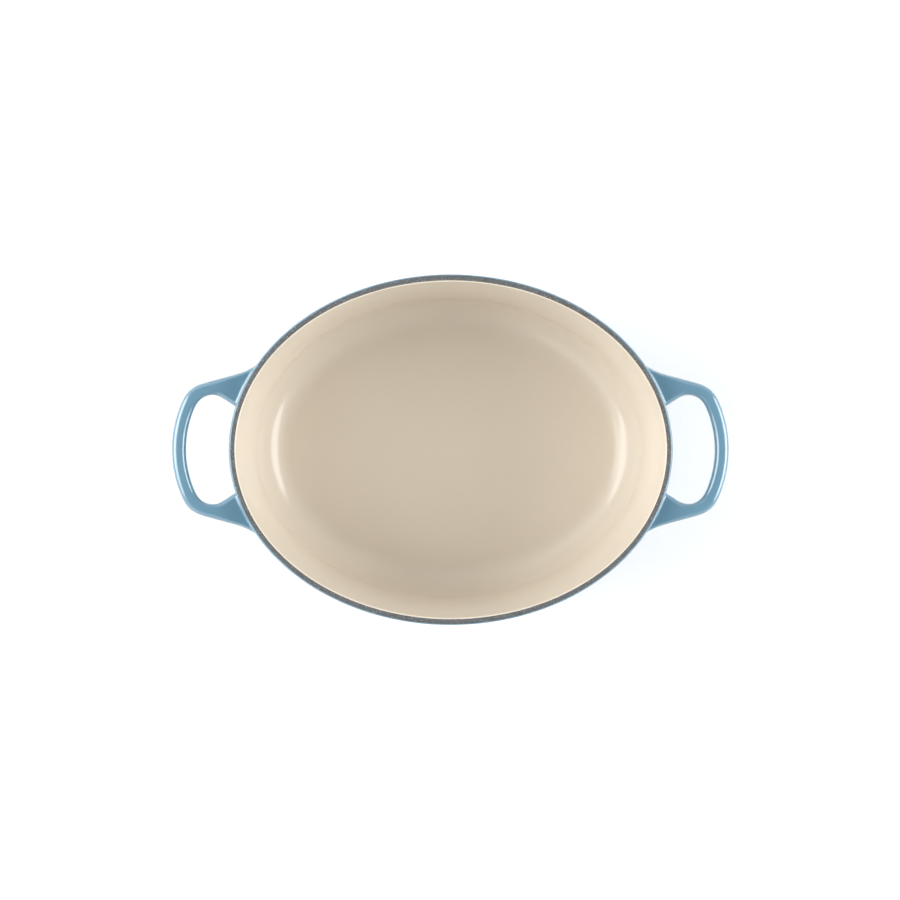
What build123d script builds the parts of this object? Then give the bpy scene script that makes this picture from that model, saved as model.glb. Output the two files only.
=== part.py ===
from build123d import *

import os
from math import hypot, radians, tan

# An oval enamelled cast iron dutch oven, open, with a loop handle at each end.
#
# One iron casting holds the wall, the floor and both handles. Glass enamel covers it: a sand coat
# inside, a blue coat outside and on the handles, the same blue under the base, and a matt coat on
# the rim, where the glossy coats stop.
#
# Millimetres. The origin is the centre of the foot, on the surface the pot stands on. +X runs
# through the handles, +Y across, +Z up.

# Overall sizes, over the glass
RIM_LENGTH = 312.0
RIM_WIDTH = 246.5
HEIGHT = 127.0

# Glass coats, laid on the iron
ENAMEL = 0.5
BLUE_EDGE = 1.5  # width of the outside's coat on top of the rim
SAND_EDGE = 1.0  # width of the inside's coat on top of the rim
UNDERSIDE_EDGE = 2.6  # height where the underside's coat meets the outside's

# Iron wall and floor
RIM_WALL = 4.4
FOOT_WALL = 3.8
FLOOR = 4.5
INSIDE_DRAFT = 5.2  # degrees from upright
CORNER_RADIUS = 25.0  # inside, between wall and floor, over the glass
SHOULDER_RADIUS = 2.2  # outer edge of the rim
LIP_RADIUS = 1.0  # inner edge of the rim

# Foot: a low ring round a shallow recess
FOOT_WIDTH = 9.0
FOOT_HEIGHT = 1.0
RECESS_SLOPE = 2.0  # the recess narrows this much for each millimetre of its depth

# Loop handles in plan, over the glass
HANDLE_REACH = 40.5  # from the rim to the outermost point of the grip
GRIP_WIDTH = 10.0
GRIP_BOW = 84.0  # radius of the grip's outer side
KNUCKLE_HALF_SPAN = 44.2  # where grip and arm would meet in a sharp corner
KNUCKLE_RADIUS = 20.0
ARM_SLOPE = 15.3  # degrees from X
ARM_SPREAD = 10.4  # how far each arm spreads before it starts to flare along the wall
FLARE_SLOPE = 26.0  # degrees from X
FLARE_RADIUS = 22.0
ARM_WIDTH = 5.8  # from the grip's sharp corner in to the finger gap's, across the pot
THROAT_CLOSING = 10.9  # how far each side of the gap closes in, up to inside the wall

# Finger gap, as shares of its depth at its ends
THROAT_SHARE = 0.40  # from the rim to where the gap starts to close in
GAP_ROUNDING = 0.62
THROAT_ROUNDING = 0.60

# Loop handles in height
HANDLE_DROP = 12.0  # from the top of the rim to the top of the handle
GRIP_THICKNESS = 10.0
ROOT_THICKNESS = 15.0
HANDLE_ROUND = 3.3  # rounding of the iron bar's edges
ROOT_FILLET = 3.0  # between the iron handle and the wall

# The iron, under the glass
IRON_TOP = HEIGHT - ENAMEL
IRON_FOOT = ENAMEL
IRON_RECESS = IRON_FOOT + FOOT_HEIGHT
IRON_FLOOR = IRON_RECESS + FLOOR
INSIDE_TAPER = tan(radians(INSIDE_DRAFT))
OUTSIDE_TAPER = INSIDE_TAPER + (RIM_WALL - FOOT_WALL) / (IRON_TOP - IRON_FLOOR)
OUTSIDE_CORNER = CORNER_RADIUS + ENAMEL + FOOT_WALL
CORNER_SPAN = OUTSIDE_CORNER * (hypot(1, OUTSIDE_TAPER) - OUTSIDE_TAPER)

RIM_END = RIM_LENGTH / 2
HANDLE_TIP = RIM_END + HANDLE_REACH
HANDLE_TOP = HEIGHT - HANDLE_DROP
HANDLE_SLOPE = (ROOT_THICKNESS - GRIP_THICKNESS) / HANDLE_REACH
HANDLE_END = RIM_END - HANDLE_REACH  # the handle's outline is closed here, inside the pot
FLARE_HALF_SPAN = KNUCKLE_HALF_SPAN + ARM_SPREAD
GAP_HALF_SPAN = KNUCKLE_HALF_SPAN - ARM_WIDTH
THROAT_HALF_SPAN = GAP_HALF_SPAN - THROAT_CLOSING
GAP_BOW = GRIP_BOW - GRIP_WIDTH
GAP_DEPTH = HANDLE_REACH - GRIP_WIDTH - GAP_BOW + (GAP_BOW**2 - GAP_HALF_SPAN**2) ** 0.5
GAP_END = RIM_END - 2 * RIM_WALL  # the gap's side turns straight here, inside the wall
NEAR = 0.01  # how close an edge or corner must be to the place asked for


# In every function below, skin is how far the glass stands off the iron; 0 is the iron itself.


def oval(z, inset):
    """The pot's plan at height z, inset evenly from the iron's outer edge at the rim."""
    return Pos(0, 0, z) * Ellipse(RIM_END - ENAMEL - inset, RIM_WIDTH / 2 - ENAMEL - inset)


def outside_inset(z, skin):
    """How far in from the rim's edge the outside of the wall lies."""
    return (IRON_TOP - z) * OUTSIDE_TAPER - skin * hypot(1, OUTSIDE_TAPER)


def inside_inset(z, skin):
    """How far in from the rim's edge the inside of the wall lies."""
    return RIM_WALL + (IRON_TOP - z) * INSIDE_TAPER + skin * hypot(1, INSIDE_TAPER)


def recess_inset(z, skin):
    """How far in from the rim's edge the side of the recess under the base lies."""
    edge = outside_inset(IRON_FOOT, 0) + CORNER_SPAN + FOOT_WIDTH
    return edge + (z - IRON_FOOT) * RECESS_SLOPE + skin * hypot(1, RECESS_SLOPE)


def block(low, high, inset, skin):
    """A solid from height low to height high, with one of the sides above."""
    return loft([oval(low, inset(low, skin)), oval(high, inset(high, skin))])


def edges_round_pot(solid, z):
    """The edges that run round the pot at height z, shortest first."""
    return solid.edges().filter_by_position(Axis.Z, z - NEAR, z + NEAR).sort_by(Edge.length)


def bow(radius, tip, half_span):
    """An arc across +X that reaches out to tip and ends at half_span on each side."""
    x = tip - radius + (radius**2 - half_span**2) ** 0.5
    return ThreePointArc((x, -half_span), (tip, 0), (x, half_span))


def plan(arc, turns):
    """A closed plan, the same on both sides of X: the arc, then straight runs through the turns.

    A turn is (x, y, radius of its rounding); a radius of 0 leaves the corner sharp.
    """
    side = [((arc @ 1).X, (arc @ 1).Y)] + [(x, y) for x, y, _ in turns]
    face = make_face(arc + Polyline(*side, *[(x, -y) for x, y in reversed(side)]))
    for x, _, radius in turns:
        if radius:
            face = round_corners(face, x, radius)
    return face


def round_corners(face, x, radius):
    """The plan with its pair of corners at this x rounded."""
    return fillet(face.vertices().filter_by_position(Axis.X, x - NEAR, x + NEAR), radius)


def handle_plan(skin):
    """Plan of the +X handle: its outer outline less the finger gap."""
    outer_bow = bow(GRIP_BOW, HANDLE_TIP, KNUCKLE_HALF_SPAN)
    knuckle_x = (outer_bow @ 1).X
    flare_x = knuckle_x - (FLARE_HALF_SPAN - KNUCKLE_HALF_SPAN) / tan(radians(ARM_SLOPE))
    end_y = FLARE_HALF_SPAN + (flare_x - HANDLE_END) * tan(radians(FLARE_SLOPE))
    outer = plan(outer_bow, [(flare_x, FLARE_HALF_SPAN, FLARE_RADIUS), (HANDLE_END, end_y, 0)])
    outer = round_corners(outer, knuckle_x, KNUCKLE_RADIUS)

    gap_bow = bow(GAP_BOW, HANDLE_TIP - GRIP_WIDTH, GAP_HALF_SPAN)
    throat_radius = GAP_DEPTH * THROAT_ROUNDING
    gap = plan(
        gap_bow,
        [
            (RIM_END + GAP_DEPTH * THROAT_SHARE, GAP_HALF_SPAN, throat_radius),
            (GAP_END, THROAT_HALF_SPAN, throat_radius),
            (HANDLE_END, THROAT_HALF_SPAN, 0),
        ],
    )
    gap = round_corners(gap, (gap_bow @ 1).X, GAP_DEPTH * GAP_ROUNDING)
    if skin == ENAMEL:
        return outer - gap
    return offset(outer, skin - ENAMEL) - offset(gap, ENAMEL - skin)


def handle(skin):
    """The +X handle, thicker towards the wall, its long edges rounded."""
    top = HANDLE_TOP - ENAMEL + skin
    tip_bottom = HANDLE_TOP - GRIP_THICKNESS + (ENAMEL - skin) * hypot(1, HANDLE_SLOPE)
    beyond = HANDLE_TIP + HANDLE_REACH
    behind = HANDLE_END - HANDLE_REACH
    side_view = Polyline(
        (behind, top),
        (beyond, top),
        (beyond, tip_bottom + (beyond - HANDLE_TIP) * HANDLE_SLOPE),
        (behind, tip_bottom - (HANDLE_TIP - behind) * HANDLE_SLOPE),
        close=True,
    )
    band = extrude(Plane.XZ * make_face(side_view), RIM_WIDTH / 2, both=True)
    bar = band & extrude(handle_plan(skin), HEIGHT)
    long_edges = [
        edge
        for edge in bar.edges()
        if abs((edge % 0).Z) < 0.5 and edge.bounding_box().max.X > HANDLE_END + 1
    ]
    return fillet(long_edges, HANDLE_ROUND + skin)


def pot(skin):
    """The whole pot: the outside shape with its handles, hollow and recess under the base."""
    top = IRON_TOP + skin
    bottom = IRON_FOOT - skin
    floor = IRON_FLOOR + skin
    form = block(bottom, top, outside_inset, skin)
    form = fillet(edges_round_pot(form, bottom), OUTSIDE_CORNER + skin)
    form = fillet(edges_round_pot(form, top), SHOULDER_RADIUS + skin)
    for turn in (0, 180):
        one = Rot(0, 0, turn) * handle(skin)
        joined = form + one
        form = fillet(new_edges(form, one, combined=joined), ROOT_FILLET - skin)
    hollow = block(floor, HEIGHT + RIM_WALL, inside_inset, skin)
    hollow = fillet(edges_round_pot(hollow, floor), CORNER_RADIUS + ENAMEL - skin)
    form = form - hollow - block(bottom - FOOT_HEIGHT, IRON_RECESS - skin, recess_inset, skin)
    return fillet(edges_round_pot(form, top)[:1], LIP_RADIUS + skin)


def under_the_base():
    """All the space below the height where the underside's coat ends."""
    side = 2 * HANDLE_TIP + RIM_LENGTH
    return Pos(0, 0, UNDERSIDE_EDGE - HEIGHT / 2) * Box(side, side, HEIGHT)


def over_the_rim():
    """The oval ring of space, with upright sides, that holds the rim's coat."""
    start = IRON_TOP - SHOULDER_RADIUS
    outer = extrude(oval(start, BLUE_EDGE - ENAMEL), 2 * SHOULDER_RADIUS)
    return outer - extrude(oval(start, RIM_WALL + ENAMEL - SAND_EDGE), 2 * SHOULDER_RADIUS)


iron_casting = pot(0)
glass = pot(ENAMEL) - iron_casting
underside_enamel = glass & under_the_base()
rim_coat = glass & over_the_rim()
between = (glass - under_the_base() - over_the_rim()).solids()
inside_enamel, outside_enamel = between.sort_by(lambda coat: coat.bounding_box().size.X)

os.makedirs("parts", exist_ok=True)
export_step(iron_casting, "parts/iron_casting.step")
export_step(rim_coat, "parts/rim_coat.step")
export_step(inside_enamel, "parts/inside_enamel.step")
export_step(outside_enamel, "parts/outside_enamel.step")
export_step(underside_enamel, "parts/underside_enamel.step")
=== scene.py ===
from math import atan2, pi, radians, tan

import bpy
import numpy as np
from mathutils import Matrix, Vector


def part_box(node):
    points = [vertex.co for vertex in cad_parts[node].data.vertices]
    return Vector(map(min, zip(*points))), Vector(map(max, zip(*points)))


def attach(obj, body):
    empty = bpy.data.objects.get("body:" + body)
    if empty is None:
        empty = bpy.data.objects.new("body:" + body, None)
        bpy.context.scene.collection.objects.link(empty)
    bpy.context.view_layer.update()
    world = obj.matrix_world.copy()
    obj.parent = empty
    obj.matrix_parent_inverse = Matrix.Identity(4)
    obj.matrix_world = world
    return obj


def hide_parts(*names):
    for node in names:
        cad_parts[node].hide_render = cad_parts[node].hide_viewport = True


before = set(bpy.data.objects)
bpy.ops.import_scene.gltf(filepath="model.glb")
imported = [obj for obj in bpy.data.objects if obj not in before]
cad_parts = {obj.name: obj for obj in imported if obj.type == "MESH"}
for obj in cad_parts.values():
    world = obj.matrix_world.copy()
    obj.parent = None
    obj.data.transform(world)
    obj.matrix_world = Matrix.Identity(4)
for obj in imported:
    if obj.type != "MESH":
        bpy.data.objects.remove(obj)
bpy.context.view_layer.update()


# The iron casting. Wall, floor, foot and both loop handles are poured in one piece in a sand
# mould, then fettled and grit blasted to a dull, finely pitted grey. Glass covers all of it.

class Link:
    """A shader socket that can be reckoned with: + - and * each add a Math node."""

    def __init__(self, finish, socket):
        self.finish = finish
        self.socket = socket

    def _math(self, operation, first, second):
        return self.finish.node("ShaderNodeMath", {"operation": operation}, {0: first, 1: second})

    def __add__(self, other):
        return self._math("ADD", self, other)

    def __radd__(self, other):
        return self._math("ADD", other, self)

    def __sub__(self, other):
        return self._math("SUBTRACT", self, other)

    def __rsub__(self, other):
        return self._math("SUBTRACT", other, self)

    def __mul__(self, other):
        return self._math("MULTIPLY", self, other)

    def __rmul__(self, other):
        return self._math("MULTIPLY", other, self)


class Finish:
    """A material, built from its nodes."""

    def __init__(self, name):
        self.material = bpy.data.materials.new(name)
        self.material.use_nodes = True
        self.tree = self.material.node_tree
        self.tree.nodes.clear()
        self.place = self.node("ShaderNodeTexCoord", output="Object")

    def node(self, kind, settings=None, sockets=None, output=0):
        """Adds a node: its settings first, then a value or a link for each socket named."""
        node = self.tree.nodes.new(kind)
        for name, value in (settings or {}).items():
            setattr(node, name, value)
        for name, value in (sockets or {}).items():
            if isinstance(value, Link):
                self.tree.links.new(value.socket, node.inputs[name])
            else:
                node.inputs[name].default_value = value
        return Link(self, node.outputs[output]) if node.outputs else None

    def noise(self, size, detail=2.0, seed=0.0):
        """Soft noise from 0 to 1, whose lumps are about size across, in metres."""
        sockets = {"Vector": self.place, "W": seed, "Scale": 1 / size, "Detail": detail}
        return self.node("ShaderNodeTexNoise", {"noise_dimensions": "4D"}, sockets)

    def step(self, value, low, high):
        """0 where value is under low, 1 where it is over high, smooth between."""
        sockets = {"Value": value, "From Min": low, "From Max": high}
        return self.node("ShaderNodeMapRange", {"interpolation_type": "SMOOTHSTEP"}, sockets)

    def blend(self, share, first, second):
        """The first colour where share is 0, the second where it is 1."""
        sockets = {0: share, 6: first, 7: second}
        return self.node("ShaderNodeMix", {"data_type": "RGBA"}, sockets, output=2)

    def relief(self, height, depth):
        """A normal bent as if the surface rose by depth, in metres, where height is 1."""
        return self.node("ShaderNodeBump", None, {"Height": height, "Distance": depth})

    def surface(self, **sockets):
        """Ends the material in one Principled surface."""
        named = {name.replace("_", " "): value for name, value in sockets.items()}
        shader = self.node("ShaderNodeBsdfPrincipled", None, named)
        self.node("ShaderNodeOutputMaterial", None, {"Surface": shader})
        return self.material


def blasted_iron():
    """Dull grey iron: lumps from the sand mould and fine pits from the grit."""
    finish = Finish("blasted_iron")
    skin = finish.noise(0.004, detail=3) * 0.6 + finish.noise(0.0006, seed=3.0) * 0.4
    return finish.surface(
        Base_Color=finish.blend(skin, (0.045, 0.044, 0.043, 1), (0.13, 0.13, 0.128, 1)),
        Metallic=0.85,
        Roughness=0.45 + 0.3 * skin,
        Normal=finish.relief(skin, 0.0001),
    )


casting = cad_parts["iron_casting"]
casting.data.materials.clear()
casting.data.materials.append(blasted_iron())


# The glass under the base. The pot is dipped and fired standing on pins, so the blue glass runs
# over the foot ring and the shallow recess inside it, a little rough where it rests.

glass = 0.0005
rim_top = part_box("rim_coat")[1].z
iron_top = rim_top - glass
iron_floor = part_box("inside_enamel")[0].z
iron_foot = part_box("iron_casting")[0].z
outside_lean = 0.0960
inside_lean = tan(radians(5.2))
shoulder_radius = 0.0022
half_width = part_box("iron_casting")[1].y + 0.1 * shoulder_radius
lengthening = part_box("rim_coat")[1].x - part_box("rim_coat")[1].y


def rounded_line(corners):
    """Points along a line whose corners, each (across, height, radius), are rounded.

    A corner's arc sweeps evenly from the one straight's direction to the other's about a centre
    on the corner's bisector; the straights hold points every 2 mm.
    """
    points = [np.array([corners[0][:2]])]
    for before, corner, after in zip(corners, corners[1:], corners[2:]):
        at = np.array(corner[:2])
        back = np.array(before[:2]) - at
        ahead = np.array(after[:2]) - at
        back /= np.linalg.norm(back)
        ahead /= np.linalg.norm(ahead)
        half = np.arccos(back @ ahead) / 2
        centre = at + (back + ahead) / np.linalg.norm(back + ahead) * corner[2] / np.sin(half)
        first = at + back * corner[2] / np.tan(half) - centre
        last = at + ahead * corner[2] / np.tan(half) - centre
        sweep = pi - 2 * half
        t = np.linspace(0, sweep, 41)[:, None]
        arc = centre + (np.sin(sweep - t) * first + np.sin(t) * last) / np.sin(sweep)
        points += [straight(points[-1][-1], arc[0]), arc]
    end = np.array([corners[-1][:2]])
    return np.concatenate([*points, straight(points[-1][-1], end[0]), end])


def straight(start, end):
    """Points between two ends, without the ends' own, at most 2 mm apart."""
    count = int(np.linalg.norm(end - start) / 0.002) + 2
    return start + (end - start) * np.linspace(0, 1, count)[1:-1, None]


def lean_in(width, lean, height):
    """A half width at the iron's rim, brought down a leaning wall to a height."""
    return width - lean * (iron_top - height)


# From the middle of the underside round the foot, up the wall, over the rim, down the inside and
# in to the middle of the floor. Every coat of glass is a stretch of this one line.
section = rounded_line([
    (0.0, iron_foot + 0.001, 0),
    (0.0730, iron_foot + 0.001, 0.0020),
    (0.0750, iron_foot, 0.0010),
    (lean_in(half_width, outside_lean, iron_foot), iron_foot, 0.0293),
    (half_width, iron_top, shoulder_radius),
    (half_width - 0.0044, iron_top, 0.0010),
    (lean_in(half_width - 0.0044, inside_lean, iron_floor), iron_floor, 0.0255),
    (0.0, iron_floor, 0),
])
span = np.diff(section, axis=0)
heading = np.unwrap(np.arctan2(span[:, 1], span[:, 0]))
length = np.linalg.norm(span, axis=1)
middle = np.cumsum(length) - length / 2
along = np.concatenate([[0], np.cumsum(length)])
turned = np.interp(along, middle, heading)
finely = along / 0.004 + np.append(0, np.cumsum(np.abs(np.diff(turned)))) / radians(2)


glass_skin = section + glass * np.stack([np.sin(turned), -np.cos(turned)], axis=-1)


def where_skin_is(axis, value, first, last):
    """How far along the section the glass's skin reaches a value, between two distances.

    axis 0 is the half width and 1 the height.
    """
    near = (along > first) & (along < last)
    run = glass_skin[near, axis]
    up = np.sign(run[-1] - run[0])
    return np.interp(up * value, up * run, along[near])


def coat_surface(at, thickness):
    """Points of a glass coat: the section's iron at each distance, lifted off it by thickness.

    at and thickness are grids with a column for each direction round the oval. The section's half
    width is the ellipse's short axis, and the long one is longer by the same amount all the way
    up, fading out over the flat middle.
    """
    round_pot = np.linspace(0, 2 * pi, at.shape[1], endpoint=False)
    tilt = np.interp(at, along, turned)
    half = np.interp(at, along, section[:, 0]) + thickness * np.sin(tilt)
    height = np.interp(at, along, section[:, 1]) - thickness * np.cos(tilt)
    longer = half + lengthening * np.clip(half / 0.07, 0, 1)
    return np.stack([longer * np.cos(round_pot), half * np.sin(round_pot), height], axis=-1)


def rows_between(start, end, round_start, round_end):
    """Distances along the section, close together where it curves and in a rounded end."""
    edge = glass * (1 - np.cos(np.linspace(0, pi / 2, 5)[:-1, None]))
    first = start + glass * round_start
    last = end - glass * round_end
    low, high = np.interp([np.mean(first), np.mean(last)], along, finely)
    share = np.interp(np.linspace(low, high, int(high - low) + 8), finely, along)
    share = (share - share[0]) / (share[-1] - share[0])
    rows = [first + (last - first) * share[:, None]]
    if round_start:
        rows.insert(0, start + edge)
    if round_end:
        rows.append(end - edge[::-1])
    return np.concatenate(rows)


def mesh_piece(name, points, faces, material):
    """A smooth mesh of these points and faces, as an object at the origin."""
    mesh = bpy.data.meshes.new(name)
    mesh.from_pydata(points, [], faces)
    mesh.materials.append(material)
    mesh.shade_smooth()
    piece = bpy.data.objects.new(name, mesh)
    bpy.context.scene.collection.objects.link(piece)
    return piece


def ring_faces(rows, columns, closed):
    """Quads between each ring of a grid and the next, and from the last to the first if closed."""
    row = np.arange(rows if closed else rows - 1)[:, None]
    column = np.arange(columns)[None, :]
    below = row * columns
    above = (row + 1) % rows * columns
    right = (column + 1) % columns
    quads = np.stack([below + column, below + right, above + right, above + column], axis=-1)
    return quads.reshape(-1, 4).tolist()


def capped(name, grid, first_point, last_point, material):
    """A closed piece from a grid of rings, with a fan to a point at each end."""
    rows, columns = grid.shape[:2]
    here = np.arange(columns)
    after = (here + 1) % columns
    count = rows * columns
    end = count - columns
    fans = [
        np.stack([after, here, np.full(columns, count)], axis=-1),
        np.stack([end + here, end + after, np.full(columns, count + 1)], axis=-1),
    ]
    faces = ring_faces(rows, columns, closed=False) + np.concatenate(fans).tolist()
    points = np.concatenate([grid.reshape(-1, 3), [first_point, last_point]])
    return mesh_piece(name, points.tolist(), faces, material)


def glass_coat(name, start, end, material, thickness=glass, round_start=True, round_end=True):
    """A closed shell of glass on the section from start to end, all the way round the pot.

    Its outer side stands off the iron by the thickness, and drops to it in a quarter round at a
    rounded end. A coat that reaches the middle of the pot closes there in a point.
    """
    columns = np.zeros(320)
    at = rows_between(start + columns, end + columns, round_start, round_end)
    from_start = np.clip((at - at[0]) / glass, 0, 1) if round_start else np.ones(at.shape)
    from_end = np.clip((at[-1] - at) / glass, 0, 1) if round_end else np.ones(at.shape)
    rise = np.sqrt(1 - (1 - np.minimum(from_start, from_end)) ** 2)
    outer = coat_surface(at, thickness * rise)
    inner = coat_surface(at, 0 * at)
    lifted = outer[int(round_start):len(outer) - int(round_end)]
    if np.min(start) <= 0:
        grid = np.concatenate([lifted[1:], inner[:0:-1]])
        return capped(name, grid, outer[0, 0], inner[0, 0], material)
    if np.max(end) >= along[-1]:
        grid = np.concatenate([inner[-2::-1], lifted[:-1]])
        return capped(name, grid, inner[-1, 0], outer[-1, 0], material)
    grid = np.concatenate([lifted, inner[::-1]])
    faces = ring_faces(len(grid), len(columns), closed=True)
    return mesh_piece(name, grid.reshape(-1, 3).tolist(), faces, material)


def blue_glass(name, roughness):
    """Blue glass over a grey ground: nearly even, a touch paler where it ran thin, high gloss."""
    finish = Finish(name)
    cloud = finish.noise(0.045, detail=3)
    speck = finish.step(finish.noise(0.0011, detail=1, seed=5.0), 0.76, 0.80)
    ripple = finish.noise(0.006, detail=1, seed=2.0)
    even = finish.blend(cloud, (0.124, 0.250, 0.340, 1), (0.140, 0.274, 0.368, 1))
    return finish.surface(
        Base_Color=finish.blend(speck * 0.25, even, (0.05, 0.12, 0.18, 1)),
        Roughness=roughness + 0.06 * cloud,
        Normal=finish.relief(ripple, 0.00003),
        IOR=1.6,
        Coat_Weight=1.0,
        Coat_Roughness=0.03,
        Coat_IOR=1.6,
    )


base_edge = where_skin_is(1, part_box("underside_enamel")[1].z, 0.088, 0.16)
underside = glass_coat(
    "underside_glass", 0.0, base_edge, blue_glass("underside_blue", 0.22),
    round_start=False, round_end=False,
)
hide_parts("underside_enamel")
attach(underside, "root")


# The glass outside, on the wall. Blue glass is sprayed over the whole outside, wiped back by hand
# from the top of the rim, and fired until it flows, so its upper edge is a soft round bead.

def bead_line(at_ends, at_sides, seed, first, last):
    """Where a coat ends on top of the rim, by direction round the pot.

    Its half width eases from the one at the handles' ends to the one at the long sides, and
    wanders a little with the hand that wiped it: a few sine waves.
    """
    round_pot = np.linspace(0, 2 * pi, 320, endpoint=False)
    waves = np.array([3, 5, 8, 13])[:, None]
    wander = np.sin(waves * round_pot + seed * waves**2).mean(axis=0)
    width = at_ends + (at_sides - at_ends) * np.sin(round_pot) ** 2 + 0.00008 * wander
    return where_skin_is(0, width, first, last)


rim_crest = along[np.argmax(glass_skin[:, 1])]
outer_bead = bead_line(0.12155, 0.1221, 1.0, rim_crest - 0.004, rim_crest + 0.001)
blue = blue_glass("outside_blue", 0.10)
outside = glass_coat("outside_glass", base_edge, outer_bead, blue, round_start=False)
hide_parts("outside_enamel")
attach(outside, "root")


# The two loop handles. Each is a flat bowed bar cast with the wall, thicker where it joins it, and
# spread along it at the outer corners. The blue glass runs on over it from the wall.

handle_top = rim_top - 0.012
handle_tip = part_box("outside_enamel")[1].x
grip_width = 0.010
grip_thickness = 0.010
root_thickening = 5.0 / 40.5
edge_round = 0.0038
foot_round = 0.0030


def half_outline(tip, stretches):
    """One side of the handle in plan, from the middle of the grip to inside the wall.

    Each stretch is (length, turn in degrees). The heading starts across the handle and turns
    evenly within a stretch, and the turning is averaged over a few steps so that it eases in.
    """
    steps = 24
    ease = np.ones(9) / 9
    each = np.repeat(np.array(stretches) / steps, steps, axis=0)
    move, turn = (np.convolve(np.pad(each[:, k], 4, mode="edge"), ease, "valid") for k in (0, 1))
    facing = pi / 2 + np.radians(np.cumsum(turn) - turn / 2)
    x = tip + np.concatenate([[0], np.cumsum(move * np.cos(facing))])
    y = np.concatenate([[0], np.cumsum(move * np.sin(facing))])
    return np.stack([x, y], axis=-1)


# bow, knuckle, arm, spread, and the run into the wall
outer_side = half_outline(handle_tip, [
    (0.0368, 25.1), (0.0173, 49.6), (0.0261, 0.0), (0.0095, -14.0), (0.0160, 0.0),
])
gap_side = half_outline(handle_tip - grip_width, [
    (0.0318, 24.6), (0.0148, 65.4), (0.0073, 33.0), (0.0070, 0.0), (0.0120, 0.0),
])

# Round the bar: four quarter rounds of 9 points, each with 5 more on the flat to the next one.
corners = np.array([(1, 1), (-1, 1), (-1, -1), (1, -1)])[:, None]
to_next = np.append(np.zeros(9), np.arange(1, 6) / 6)[:, None]
corner = (corners * (1 - to_next) + np.roll(corners, -1, axis=0) * to_next).reshape(-1, 2)
quarter = np.append(np.linspace(0, pi / 2, 9), np.full(5, pi / 2))
lean_out = (np.arange(4)[:, None] * pi / 2 + quarter).ravel()


def bar(u):
    """Points of the bar and the directions they face, at step u from the grip's middle.

    The section spans from the gap side to the outer side and from the sloping bottom to the flat
    top, with quarter rounds at its corners. u is a grid with a column for each point round it.
    """
    step = np.arange(len(outer_side))
    outer = np.stack([np.interp(u, step, outer_side[:, k]) for k in (0, 1)], axis=-1)
    gap = np.stack([np.interp(u, step, gap_side[:, k]) for k in (0, 1)], axis=-1)
    across = outer - gap
    half = np.linalg.norm(across, axis=-1, keepdims=True) / 2
    across /= 2 * half
    reach = corner[:, :1] * (half - edge_round) + edge_round * np.cos(lean_out)[:, None]
    plan = (outer + gap) / 2 + across * reach
    thick = grip_thickness + root_thickening * (handle_tip - plan[..., :1])
    height = handle_top - thick / 2 + (
        corner[:, 1:] * (thick / 2 - edge_round) + edge_round * np.sin(lean_out)[:, None]
    )
    facing = np.concatenate([
        across * np.cos(lean_out)[:, None],
        np.sin(lean_out)[:, None] * np.ones(height.shape),
    ], axis=-1)
    return np.concatenate([plan, height], axis=-1), facing


def off_wall(points):
    """Distance from the glass of the outside wall, and the direction straight out from it.

    The wall is where the oval's equation at that height is 1; the distance is what is over 1,
    divided by how fast it grows.
    """
    x, y, z = np.moveaxis(points, -1, 0)
    half = lean_in(half_width, outside_lean, z) + glass
    longer = half + lengthening
    value = np.sqrt((x / longer) ** 2 + (y / half) ** 2)
    upward = -outside_lean * (x**2 / longer**3 + y**2 / half**3)
    growth = np.stack([x / longer**2, y / half**2, upward], axis=-1) / value[..., None]
    speed = np.linalg.norm(growth, axis=-1, keepdims=True)
    return (value - 1) / speed[..., 0], growth / speed


def step_at(distance):
    """The step at which each line along the bar comes within a distance of the wall, by halving."""
    near = np.full((len(distance), len(lean_out)), 40.0)
    far = np.full(near.shape, len(outer_side) - 1.0)
    for _ in range(30):
        middle = (near + far) / 2
        outside_it = off_wall(bar(middle)[0])[0] > distance[:, None]
        near = np.where(outside_it, middle, near)
        far = np.where(outside_it, far, middle)
    return middle


# The foot: as a line along the bar nears the wall it bends out along it in a quarter round, ends
# just under the wall's glass, and closes inside the iron.
bend = np.linspace(0, pi / 2, 10)
near_wall = np.concatenate([foot_round * (1 - np.sin(bend)), [-0.00006, -0.0006]])
spread = np.concatenate([foot_round * (1 - np.cos(bend)), [foot_round + 0.0006, 0.0]])
foot_steps = step_at(near_wall)
foot, facing = bar(foot_steps)
straight_out = off_wall(foot)[1]
sideways = facing - straight_out * (facing * straight_out).sum(axis=-1, keepdims=True)
sideways /= np.linalg.norm(sideways, axis=-1, keepdims=True)
foot += sideways * spread[:, None, None]
arm = bar(np.linspace(0, 1, 90)[:-1, None] * foot_steps[0])[0]
half_handle = np.concatenate([arm, foot])
other_half = half_handle[:0:-1] * [1, -1, 1]
loop = np.concatenate([other_half, half_handle])[:, ::-1]

for side, name in ((1, "handle_glass_right"), (-1, "handle_glass_left")):
    grid = loop * [side, side, 1]
    handle = capped(name, grid, grid[0].mean(axis=0), grid[-1].mean(axis=0), blue)
    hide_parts("outside_enamel")
    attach(handle, "root")


# The glass inside. A sand coloured coat on the wall and floor, poured in and swilled round, and
# fired to a high gloss; it too ends in a round bead, just inside the rim.

def sand_glass():
    """Warm sand glass: nearly even, a touch deeper where it pooled, high gloss."""
    finish = Finish("inside_sand")
    cloud = finish.noise(0.050, detail=3, seed=7.0)
    speck = finish.step(finish.noise(0.0012, detail=1, seed=8.0), 0.77, 0.81)
    ripple = finish.noise(0.008, detail=1, seed=9.0)
    even = finish.blend(cloud, (0.71, 0.646, 0.548, 1), (0.73, 0.666, 0.570, 1))
    return finish.surface(
        Base_Color=finish.blend(speck * 0.3, even, (0.42, 0.33, 0.22, 1)),
        Roughness=0.15 + 0.06 * cloud,
        Normal=finish.relief(ripple, 0.00003),
        IOR=1.49,
    )


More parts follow.
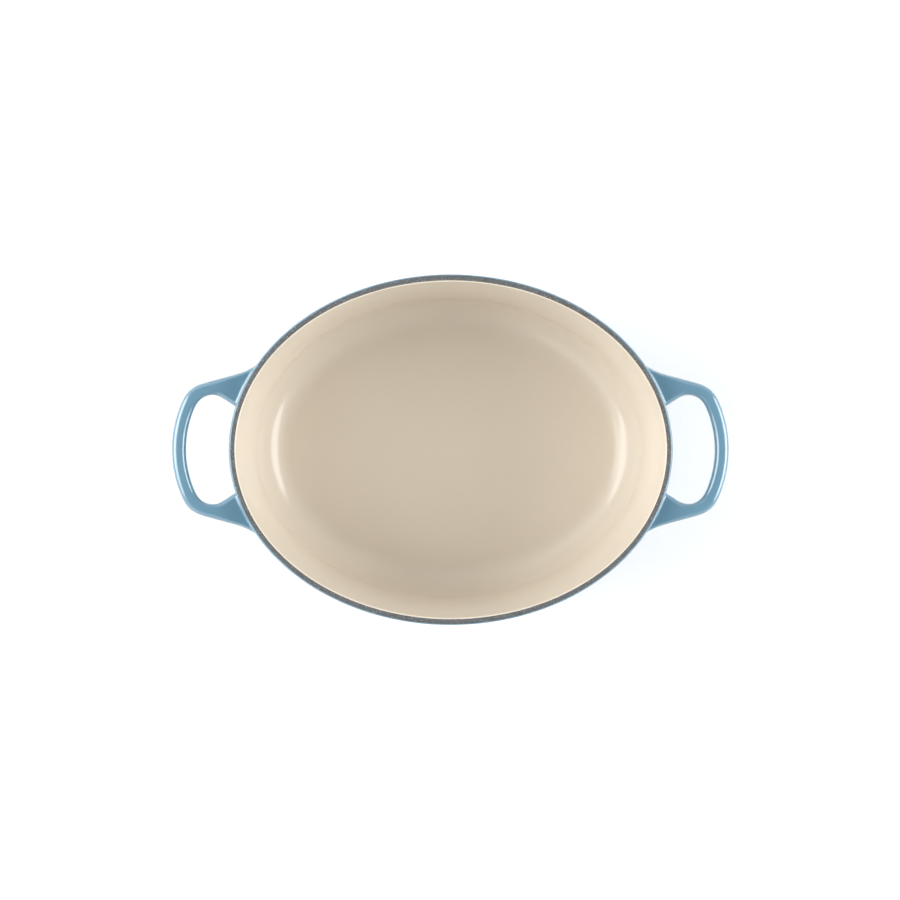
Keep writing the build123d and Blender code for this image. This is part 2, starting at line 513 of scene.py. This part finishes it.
inner_bead = bead_line(0.11885, 0.1187, 2.0, rim_crest, rim_crest + 0.004)
inside = glass_coat("inside_glass", inner_bead, along[-1], sand_glass(), round_end=False)
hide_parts("inside_enamel")
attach(inside, "root")


# The coat on the rim. Only the dark ground glass is left here, wiped thin and fired dull, so that
# a lid's rim doesn't chip it: a matt, speckled, slightly sandy band a little under the beads.

def dull_ground():
    """Dark grey matt glass with pale grains standing out of it and browner worn places."""
    finish = Finish("rim_dull_ground")
    grain = finish.noise(0.0009, detail=3, seed=11.0)
    pale = finish.step(finish.noise(0.0010, detail=2, seed=12.0), 0.55, 0.68)
    worn = finish.step(finish.noise(0.0050, detail=2, seed=13.0), 0.50, 0.65)
    ground = finish.blend(worn * 0.6, (0.088, 0.095, 0.098, 1), (0.070, 0.064, 0.057, 1))
    return finish.surface(
        Base_Color=finish.blend(pale * 0.75, ground, (0.30, 0.30, 0.29, 1)),
        Roughness=0.62 + 0.2 * grain,
        Normal=finish.relief(grain * 0.7 + pale * 0.3, 0.00012),
        IOR=1.50,
    )


tuck = 0.0004
rim = glass_coat("rim_dull_coat", outer_bead - tuck, inner_bead + tuck, dull_ground(), 0.00036)
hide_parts("rim_coat")
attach(rim, "root")


# The stage: a pale floor, two softboxes facing each other across the pot's handles, soft fill from
# the room, and the camera almost straight over the pot.

def plain_floor():
    """White paper, all but even."""
    finish = Finish("paper_floor")
    tone = finish.noise(0.4, seed=21.0)
    return finish.surface(
        Base_Color=finish.blend(tone, (0.94, 0.94, 0.94, 1), (0.96, 0.96, 0.96, 1)),
        Roughness=0.8,
    )


floor = mesh_piece(
    "floor", [(-6, -6, 0), (6, -6, 0), (6, 6, 0), (-6, 6, 0)], [(0, 1, 2, 3)], plain_floor()
)


def softbox(name, azimuth, distance, height, size, power):
    """A soft oval light facing the pot's axis level, or from above it, tilted at the pot."""
    light = bpy.data.lights.new(name, "AREA")
    light.shape = "ELLIPSE"
    light.size, light.size_y = size
    light.energy = power
    lamp = bpy.data.objects.new(name, light)
    across = distance * np.cos(radians(azimuth))
    along_y = distance * np.sin(radians(azimuth))
    lamp.location = (across, along_y, height)
    target = height if height < distance else rim_top / 2
    toward = Vector((0, 0, target)) - lamp.location
    lamp.rotation_euler = toward.to_track_quat("-Z", "Y").to_euler()
    bpy.context.scene.collection.objects.link(lamp)
    return lamp


# The two that show in the glass stand at the handles' ends, the left one turned a little.
softbox("softbox_right", 0, 1.3, 0.92, (1.40, 1.20), 29)
softbox("softbox_left", 175, 1.3, 0.92, (1.40, 1.20), 24)
softbox("softbox_above_right", 0, 1.3, 2.0, (1.2, 0.8), 2.6)
softbox("softbox_above_left", 180, 1.3, 2.0, (1.2, 0.8), 9.4)

# The pale walls of the room, round the rest of it.
softbox("wall_far", 90, 1.6, 1.2, (4.0, 2.4), 12)
softbox("wall_near", 270, 1.6, 1.2, (4.0, 2.4), 6.8)
softbox("wall_far_right", 45, 1.6, 1.2, (1.6, 2.4), 2.6)
softbox("wall_far_left", 135, 1.6, 1.2, (1.6, 2.4), 7.7)
softbox("wall_near_left", 225, 1.6, 1.2, (1.6, 2.4), 11)
softbox("wall_near_right", 315, 1.6, 1.2, (1.6, 2.4), 5.1)

room = bpy.data.worlds.new("room")
room.use_nodes = True
room.node_tree.nodes["Background"].inputs["Color"].default_value = (1, 1, 1, 1)
room.node_tree.nodes["Background"].inputs["Strength"].default_value = 0.08
bpy.context.scene.world = room
bpy.context.scene.view_settings.view_transform = "Standard"

camera = bpy.data.objects.new("camera", bpy.data.cameras.new("camera"))
camera.data.lens = 120
camera.data.sensor_width = 36
camera.data.clip_end = 50
right, ahead, above = -0.026, 0.039, 2.1
camera.location = (right - 0.0007, ahead, rim_top + above)
camera.rotation_euler = (-atan2(ahead, above), atan2(right, above), 0)
bpy.context.scene.collection.objects.link(camera)
bpy.context.scene.camera = camera
